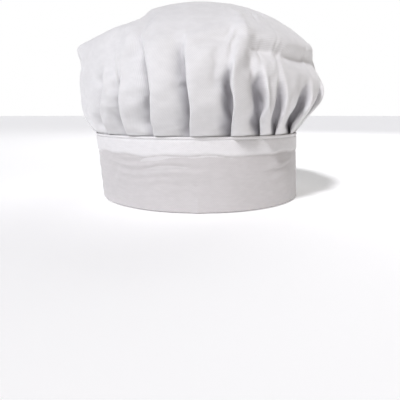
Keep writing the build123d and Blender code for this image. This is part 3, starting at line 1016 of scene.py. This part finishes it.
# Two dense tacks of zigzag stitches at the foot of the back opening.
TACK_HALF_HEIGHT, TACK_WIDTH, TACK_PITCH = 4 * MM, 1.7 * MM, 0.42 * MM
TACK_ANGLE, TACK_Z, TACK_SLANT = GAP_HALF + 5, BAND_TOP - 8.5 * MM, 0.12
tack_spots = []
for side in (-1, 1):
    tack_angle = BACK + side * TACK_ANGLE
    for angle in (tack_angle - 0.25, tack_angle + 0.25):  # two long stitches under the zigzag
        here, _, up, out = frame_at(wall, angle, TACK_Z, on_face(angle, TACK_Z) - 0.1 * MM, 1)
        tack_spots.append((here, up, out, TACK_HALF_HEIGHT * 2))
    for number in range(int(TACK_HALF_HEIGHT * 2 / TACK_PITCH)):
        z = TACK_Z - TACK_HALF_HEIGHT + (number + 0.5) * TACK_PITCH
        here, around, up, out = frame_at(wall, tack_angle, z, on_face(tack_angle, z) - 0.28 * MM, 1)
        slant = around + up * (TACK_SLANT if number % 2 else -TACK_SLANT)
        tack_spots.append((here, unit(slant), out, TACK_WIDTH))
stitches("vent_tacks", tack_spots, "hat", "vent_bartacks", 0.17 * MM)

# ---------------------------------------------------------------- tape round the back opening
BINDING_REACH, BINDING_HALF = 5.0 * MM, 1.25 * MM
# Across the tape: how far from the cloth's edge, and how far out of the cloth.
BINDING_SECTION = (
    (1.0, 0.75), (0.97, 0.95), (0.75, 1.0), (0.45, 0.98), (0.2, 1.0), (0.03, 0.85), (-0.1, 0.45),
    (-0.14, 0.0), (-0.1, -0.45), (0.03, -0.85), (0.2, -1.0), (0.45, -0.98), (0.75, -1.0),
    (0.97, -0.95), (1.0, -0.75), (0.97, -0.5), (0.6, -0.5), (0.2, -0.5), (0.03, -0.3),
    (0.0, 0.0), (0.03, 0.3), (0.2, 0.5), (0.6, 0.5), (0.97, 0.5),
)
BINDING_DIVIDE, BINDING_PASSES = 4, 10  # places to a point of the arch, and how often smoothed


def build_binding():
    """The tape is folded over the raw edge of the crown's cloth, all along the arch."""
    count = len(vent_edge)
    stations = np.linspace(0, count - 1, (count - 1) * BINDING_DIVIDE + 1)
    line = np.stack([np.interp(stations, range(count), column) for column in vent_edge.T], -1)
    line = soften(line, BINDING_PASSES)
    ahead = unit(np.gradient(line, axis=0))
    outside = line - np.array([LEAN_X, 0, BAND_TOP + 3 * MM])
    outside[:, 2] *= 0.3
    outside = unit(outside)
    away = unit(np.cross(ahead, outside))  # from the edge, over the crown's cloth
    middle = len(away) // 2
    away *= 1 if away[middle][2] > 0 else -1
    outwards = np.cross(ahead, away)
    outwards *= 1 if outwards[middle] @ outside[middle] > 0 else -1
    verts, flat = [], []
    done = travel(line)
    for place, side, out, along in zip(line, away, outwards, done):
        pucker = 1 + 0.10 * math.sin(along / MM * 1.9) + 0.05 * math.sin(along / MM * 4.7)
        for number, (reach, lift) in enumerate(BINDING_SECTION):
            verts.append(place + side * reach * BINDING_REACH + out * lift * BINDING_HALF * pucker)
            flat.append((along, number * 0.9 * MM, 0))
    ring = len(BINDING_SECTION)
    faces = grid_faces(len(line), ring, wrap_columns=True)
    add_ends(faces, 0, len(verts) - ring, ring)
    piece = new_piece("binding_tape", verts, faces, BINDING, flat=flat)
    finish_piece(piece, "binding", "vent_binding")
    # Its row of stitches, near the edge that lies on the crown.
    spots = []
    for along in np.arange(PITCH, done[-1] - PITCH, PITCH):
        here = np.array([np.interp(along, done, column) for column in line.T])
        step = int(np.searchsorted(done, along))
        for out in (outwards[step], -outwards[step]):
            place = here + away[step] * 0.75 * BINDING_REACH + out * BINDING_HALF
            spots.append((place, ahead[step], out, 2.2 * MM))
    stitches("binding_stitches", spots, "hat", "vent_binding")


build_binding()

# ---------------------------------------------------------------- back closure
TAB_LOW, TAB_HIGH = 6 * MM, 51 * MM
TAB_ROOT, TAB_FREE = BACK - GAP_HALF + 0.8, BACK + GAP_HALF + 30
SEWN_START = TAB_ROOT - 8
TAB_HALF, SEWN_HALF = 0.9 * MM, 0.6 * MM
TAB_CORNER = 6 * MM
ROOT_DEPTH, OVER_DEPTH = BAND_THICK / 2, -3.4 * MM
CROSSED = TAB_ROOT + 2 * GAP_HALF - 3  # where the strap has come out to the band's other end
BEND_START, BEND_END = TAB_ROOT - 0.6, TAB_ROOT + 3.2
TAB_MIDDLE = 28.5 * MM  # up the strap
EDGE_ROW = 2.2 * MM  # stitches in from the strap's edge
EDGE_GROOVE, END_GROOVE, ROLL = 0.16 * MM, 0.14 * MM, 0.10 * MM
SELVAGE, SELVAGE_ANGLE = 2.5 * MM, 1.56  # a tape's woven edge, in degrees where it is an end
TAPE_LOW, TAPE_HIGH = 16 * MM, 41 * MM
TAPE_THICK, TAPE_GAP, PILE = 0.4 * MM, 0.1 * MM, 0.6 * MM
TAPE_PER_DEGREE = 1.62  # millimetres of tape in a degree, for the number of its columns
HOOKS = BACK + GAP_HALF + 4, TAB_FREE - 3
LOOPS = BACK + GAP_HALF + 3.5, TAB_FREE + 9


def strap_surface(angle, z, layer):
    """The strap's middle: out of the band's pocket, then over the band's other end."""
    depth = ROOT_DEPTH + (OVER_DEPTH - ROOT_DEPTH) * smooth(angle, TAB_ROOT, CROSSED)
    return wall(angle, z, float(depth) + layer)


def strap_edge(angle):
    """How far the rounded corner has pulled the strap's edges in, and its half thickness."""
    left = (TAB_FREE - angle) * PER_DEGREE * MM
    corner = TAB_CORNER - math.sqrt(max(0, TAB_CORNER**2 - max(0, TAB_CORNER - left) ** 2))
    half = SEWN_HALF + (TAB_HALF - SEWN_HALF) * float(smooth(angle, TAB_ROOT - 0.8, TAB_ROOT + 1.5))
    half *= math.sqrt(max(0.03, 1 - max(0, 1 - left / TAB_HALF) ** 2))
    return corner, half


def strap_ring(angle, shrink=0.0):
    """The strap's section, with the grooves of its stitches unless it is shrunk to the lining."""
    corner, half = strap_edge(angle)
    end_groove = END_GROOVE * bump((TAB_FREE - angle) * PER_DEGREE * MM, EDGE_ROW, 0.5 * MM)
    fade = smooth(angle, TAB_ROOT + 4, TAB_ROOT + 12)
    ring = []
    for z, layer in flat_ring(TAB_LOW + corner + shrink, TAB_HIGH - corner - shrink, half - shrink, 26):
        near = min(z - TAB_LOW - corner, TAB_HIGH - corner - z)
        groove = EDGE_GROOVE * bump(near, EDGE_ROW, 0.5 * MM) + end_groove
        squeeze = 1 if shrink else 1 - groove / TAB_HALF
        ring.append((z, layer * squeeze + ROLL * math.sin(z / MM * 0.35 + angle * 0.11) * fade))
    return ring


def lining_ring(angle):
    return strap_ring(angle, strap_edge(angle)[1] * 0.6)


def build_strap():
    """A sleeve of cloth, closed at its free end, with the inside that its open end shows."""
    ends = TAB_FREE - np.array([0.0, 0.06, 0.16, 0.36, 0.65, 1.0, 1.3, 1.6, 2.1, 2.8, 3.7])
    root = np.linspace(TAB_ROOT - 1.0, TAB_ROOT + 5, 22)
    angles = list(np.linspace(SEWN_START, TAB_ROOT - 1.3, 7)) + list(root)
    angles += list(np.linspace(TAB_ROOT + 6, TAB_FREE - 4.6, 40)) + list(ends[::-1])
    room = [angle for angle in angles if angle < TAB_FREE - 2.5]
    verts, faces, flat = [], [], []
    firsts = []
    for places, ring_at in ((angles, strap_ring), (room, lining_ring)):
        first, last, count = add_sleeve(verts, faces, flat, strap_surface, places, ring_at)
        faces.append(tuple(range(last, last + count)))
        firsts.append(first)
    outer, inner = firsts
    for number in range(count):
        after = (number + 1) % count
        faces.append((outer + number, outer + after, inner + after, inner + number))
    piece = new_piece("closing_strap", verts, faces, BAND_TWILL, None, flat)
    finish_piece(piece, "twill", "closure_tab", "tab_sewn_end")
    tuple(strap_surface(BEND_START, TAB_MIDDLE, 0))
    tuple(strap_surface(BEND_END, TAB_MIDDLE, 0))
    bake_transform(piece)


build_strap()
strap_stiffener = strip(
    "strap_stiffener", strap_surface, (TAB_ROOT + 4, TAB_FREE - 6),
    (TAB_LOW + 3 * MM, TAB_HIGH - 3 * MM), 0.0, 0.15 * MM, STIFFENER, "strap", "tab_interfacing",
    "stiffener", steps=8,
)


def at_layer(layer):
    """The same depth everywhere, for a row of stitches."""
    return lambda angle, z: layer


strap_spots = []
STRAP_SUNK = 0.12 * MM  # and in the strap, where the row has a groove
for facing in (1, -1):
    layer = at_layer((STRAP_SUNK - TAB_HALF) * facing)
    for z in (TAB_LOW + EDGE_ROW, TAB_HIGH - EDGE_ROW):
        strap_spots += level_row(strap_surface, z, layer, TAB_ROOT + 3.6, TAB_FREE - 4.2, facing)
    low, high = TAB_LOW + 6.4 * MM, TAB_HIGH - 6.4 * MM
    strap_spots += upright_row(strap_surface, TAB_FREE - 1.35, low, high, layer, facing)
    for edge, turn in ((TAB_LOW, -1), (TAB_HIGH, 1)):  # round the two corners
        for slant in (math.radians(22.5), math.radians(67.5)):
            reach = TAB_CORNER - EDGE_ROW
            angle = TAB_FREE - (TAB_CORNER - reach * math.sin(slant)) / MM / PER_DEGREE
            z = edge - turn * (TAB_CORNER - reach * math.cos(slant))
            here, around, up, out = frame_at(strap_surface, angle, z, layer(angle, z), facing)
            along = around * math.cos(slant) - up * turn * math.sin(slant)
            strap_spots.append((here, along, out, STITCH))
stitches("strap_edge_stitches", strap_spots, "strap", "tab_edge_stitching")


# ---------------------------------------------------------------- hook and loop tapes
def tape_stitches(name, surface, span, sides, body, node):
    """A row round the edge of a tape, seen on its face and on the far side of the cloth."""
    start, end = span
    spots = []
    for depth, facing in sides:
        layer = at_layer(depth)
        for z in (TAPE_LOW + SELVAGE / 2, TAPE_HIGH - SELVAGE / 2):
            spots += level_row(surface, z, layer, start + 0.9, end - 0.9, facing)
        for angle in (start + SELVAGE_ANGLE / 2, end - SELVAGE_ANGLE / 2):
            spots += upright_row(surface, angle, TAPE_LOW + SELVAGE, TAPE_HIGH - SELVAGE, layer, facing)
    stitches(name, spots, body, node)


HOOK_BACK = TAB_HALF + TAPE_GAP  # where the hook tape's back lies, inside the strap
ground = strip(
    "hook_tape_ground", strap_surface, HOOKS, (TAPE_LOW, TAPE_HIGH), HOOK_BACK + TAPE_THICK / 2,
    TAPE_THICK / 2, TAPE_GROUND, "strap", "hook_tape", "hooks",
)
loops_ground = strip(
    "loop_tape_ground", wall, LOOPS, (TAPE_LOW, TAPE_HIGH), -TAPE_GAP - TAPE_THICK / 2,
    TAPE_THICK / 2, TAPE_GROUND, "hat", "loop_tape", "loops",
)

HOOK_PITCH, HOOK_RADIUS, HOOK_STAGGER = 1.5 * MM, 0.11 * MM, 0.4
HOOK_SHAPE = ((0.0, -0.15), (0.0, 0.35), (0.12, 0.78), (0.42, 0.95), (0.66, 0.72), (0.66, 0.5))
LOOP_PITCH, LOOP_RADIUS, LOOP_WIDE, LOOP_POINTS = 1.05 * MM, 0.07 * MM, 0.55 * MM, 6


def tape_grid(span, pitch):
    """Where a tape's pile starts and how far it goes on, in degrees, its columns and its rows."""
    start, width = span[0] + SELVAGE_ANGLE, span[1] - span[0] - 2 * SELVAGE_ANGLE
    columns = int(width * TAPE_PER_DEGREE * MM / pitch)
    return start, width, columns, int((TAPE_HIGH - TAPE_LOW - 2 * SELVAGE) / pitch)


def build_hooks():
    """Rows of small nylon hooks; neighbouring rows turn opposite ways."""
    verts, faces, flat = [], [], []
    start, width, columns, rows = tape_grid(HOOKS, HOOK_PITCH)
    for column in range(columns):
        for row in range(rows):
            share = (column + 0.5 + (row % 2) * HOOK_STAGGER) / (columns + HOOK_STAGGER)
            z = TAPE_LOW + SELVAGE + (row + 0.5) * HOOK_PITCH
            here, around, up, out = frame_at(
                strap_surface, start + width * share, z, HOOK_BACK + TAPE_THICK, -1
            )
            lean = around * (1 if row % 2 else -1)
            line = [here + lean * x * PILE + out * y * PILE for x, y in HOOK_SHAPE]
            add_tube(verts, faces, flat, line, up, HOOK_RADIUS, sides=5)
    finish_piece(new_piece("hooks", verts, faces, HOOK_NYLON, "strap", flat), "hooks", "hook_tape")


def build_loops():
    """The soft pile of the other tape: small arches of yarn that lie every way."""
    verts, faces, flat = [], [], []
    start, width, columns, rows = tape_grid(LOOPS, LOOP_PITCH)
    for column in range(columns):
        for row in range(rows):
            share = (column + 0.5 + dice.uniform(-0.3, 0.3)) / columns
            z = TAPE_LOW + SELVAGE + (row + 0.5 + dice.uniform(-0.3, 0.3)) * LOOP_PITCH
            here, around, up, out = frame_at(wall, start + width * share, z, -TAPE_GAP - TAPE_THICK, 1)
            turn = dice.uniform(0, math.pi)
            across = around * math.cos(turn) + up * math.sin(turn)
            tall = PILE * dice.uniform(0.6, 0.9)
            wide = LOOP_WIDE * dice.uniform(0.8, 1.2)
            line = [
                here + across * wide * -math.cos(t) + out * (tall * math.sin(t) - 0.05 * MM)
                for t in np.linspace(0, math.pi, LOOP_POINTS)
            ]
            add_tube(verts, faces, flat, line, np.cross(across, out), LOOP_RADIUS, sides=4)
    finish_piece(new_piece("loop_pile", verts, faces, LOOP_YARN, "hat", flat), "loops", "loop_tape")


build_hooks()
build_loops()
hook_sides = (HOOK_BACK + TAPE_THICK, -1), (-TAB_HALF, 1)
tape_stitches("hook_tape_stitches", strap_surface, HOOKS, hook_sides, "strap", "hook_tape_stitching")
loop_sides = (-TAPE_GAP - TAPE_THICK, 1), (BAND_THICK, -1)
tape_stitches("loop_tape_stitches", wall, LOOPS, loop_sides, "hat", "loop_tape_stitching")

# ---------------------------------------------------------------- blank care label
LABEL_START, LABEL_WIDTH = 200.0, 18.0
LABEL_END = LABEL_START + LABEL_WIDTH
LABEL_LOW, LABEL_HIGH, LABEL_DEPTH = 15 * MM, 51 * MM, 3.2 * MM
LABEL_HALF, LABEL_ROW = 0.1 * MM, LABEL_HIGH - 2.5 * MM


def label_surface(angle, z, layer):
    """Sewn along its top; lower down it hangs a little free of the lining."""
    free = smooth(LABEL_HIGH - z, 6 * MM, 36 * MM)
    curl = (0.5 + 0.5 * math.cos(math.radians((angle - LABEL_START - LABEL_WIDTH / 2) * 20))) * 0.6
    return wall(angle, z, LABEL_DEPTH + layer + float(free) * (0.4 + curl) * MM)


label = strip(
    "blank_label", label_surface, (LABEL_START, LABEL_END), (LABEL_LOW, LABEL_HIGH), 0.0,
    LABEL_HALF, LABEL, "hat", "care_label", "label", steps=24,
)
label_row = level_row(
    label_surface, LABEL_ROW, at_layer(LABEL_HALF), LABEL_START + 0.5, LABEL_END - 0.5, -1
)
stitches("label_stitches", label_row, "hat", "care_label_stitching")

# ---------------------------------------------------------------- floor, light, camera
FLOOR_RADIUS, FLOOR_SIDES, FLOOR_Z = 14.0, 96, -0.5 * MM
FLOOR_WHITE, FLOOR_GLOW = 0.94, 0.15


def build_floor():
    turns = [math.radians(360 * number / FLOOR_SIDES) for number in range(FLOOR_SIDES)]
    points = [(FLOOR_RADIUS * math.cos(t), FLOOR_RADIUS * math.sin(t), FLOOR_Z) for t in turns]
    mesh = bpy.data.meshes.new("floor")
    mesh.from_pydata(points, [], [tuple(range(FLOOR_SIDES))])
    floor = bpy.data.objects.new("floor", mesh)
    bpy.context.collection.objects.link(floor)
    material = bpy.data.materials.new("floor")
    material.use_nodes = True
    inputs = {"Base Color": (FLOOR_WHITE, FLOOR_WHITE, FLOOR_WHITE, 1), "Roughness": 1}
    inputs.update({"Emission Color": (1, 1, 1, 1), "Emission Strength": FLOOR_GLOW})
    set_inputs(material.node_tree, material.node_tree.nodes["Principled BSDF"], inputs)
    mesh.materials.append(material)


def add_light(name, kind, axis, direction, power, colour, **settings):
    """A light whose own axis lies along a direction."""
    light = bpy.data.lights.new(name, kind)
    for setting, value in settings.items():
        setattr(light, setting, value)
    light.energy = power
    light.color = colour
    holder = bpy.data.objects.new(name, light)
    bpy.context.collection.objects.link(holder)
    holder.rotation_euler = Vector(direction).to_track_quat(axis, "Y").to_euler()
    return holder


def area_light(name, place, size, power, colour=(1, 1, 1)):
    """A square light that faces the middle of the hat."""
    ahead = Vector(HAT_MIDDLE) - Vector(place)
    sizes = {"size": size, "size_y": size}
    add_light(name, "AREA", "-Z", ahead, power, colour, shape="RECTANGLE", **sizes).location = place


HAT_MIDDLE = (0, 0, 0.09)
build_floor()
add_light("key", "SUN", "Z", (-0.36, -0.66, 0.80), 2.6, (0.972, 0.965, 1.0), angle=math.radians(8))
area_light("fill", (1.0, -0.8, 0.35), 0.9, 1.5, (1.0, 0.80, 0.56))
area_light("back", (0.4, 0.9, 0.9), 0.8, 5.0)

# The surroundings, up and down (Z) and from front to back (Y): how far up or back the first
# brightness ends and the last one starts.
WHITE = (1.0, 1.0, 1.0)
SURROUNDINGS = (
    ("Z", 0.24, 0.5, WHITE, (0.14, 0.14, 0.145)),
    ("Y", 0.4, 0.8, (0.38, 0.38, 0.39), WHITE),
)


def build_world():
    """Bright behind the hat near the horizon, under half as bright in front, dim overhead."""
    world = bpy.data.worlds.new("world")
    world.use_nodes = True
    tree = world.node_tree
    where = add_node(tree, "TexCoord", "Generated")
    split = add_node(tree, "SeparateXYZ", "X", {"Vector": where}).node
    across, along = [colour_ramp(tree, split.outputs[axis], *rest) for axis, *rest in SURROUNDINGS]
    set_inputs(tree, tree.nodes["Background"], {"Color": multiply(tree, 1, across, along)})
    bpy.context.scene.world = world


build_world()
bpy.context.scene.view_settings.view_transform = "Standard"

# The photograph's view, fitted to the band's edges. Its focal length is in pixels of the frame.
SENSOR, FOCAL_PIXELS, FRAME_PIXELS = 36, 421, 400
CAMERA_PLACE, CAMERA_DOWN = (-0.0002, -0.406, 0.0735), 11.6

camera = bpy.data.cameras.new("camera")
camera.sensor_width = SENSOR
camera.lens = SENSOR * FOCAL_PIXELS / FRAME_PIXELS
camera.clip_start = 0.01
holder = bpy.data.objects.new("camera", camera)
bpy.context.collection.objects.link(holder)
holder.location = CAMERA_PLACE
holder.rotation_euler = (math.radians(90 - CAMERA_DOWN), 0, 0)
bpy.context.scene.camera = holder
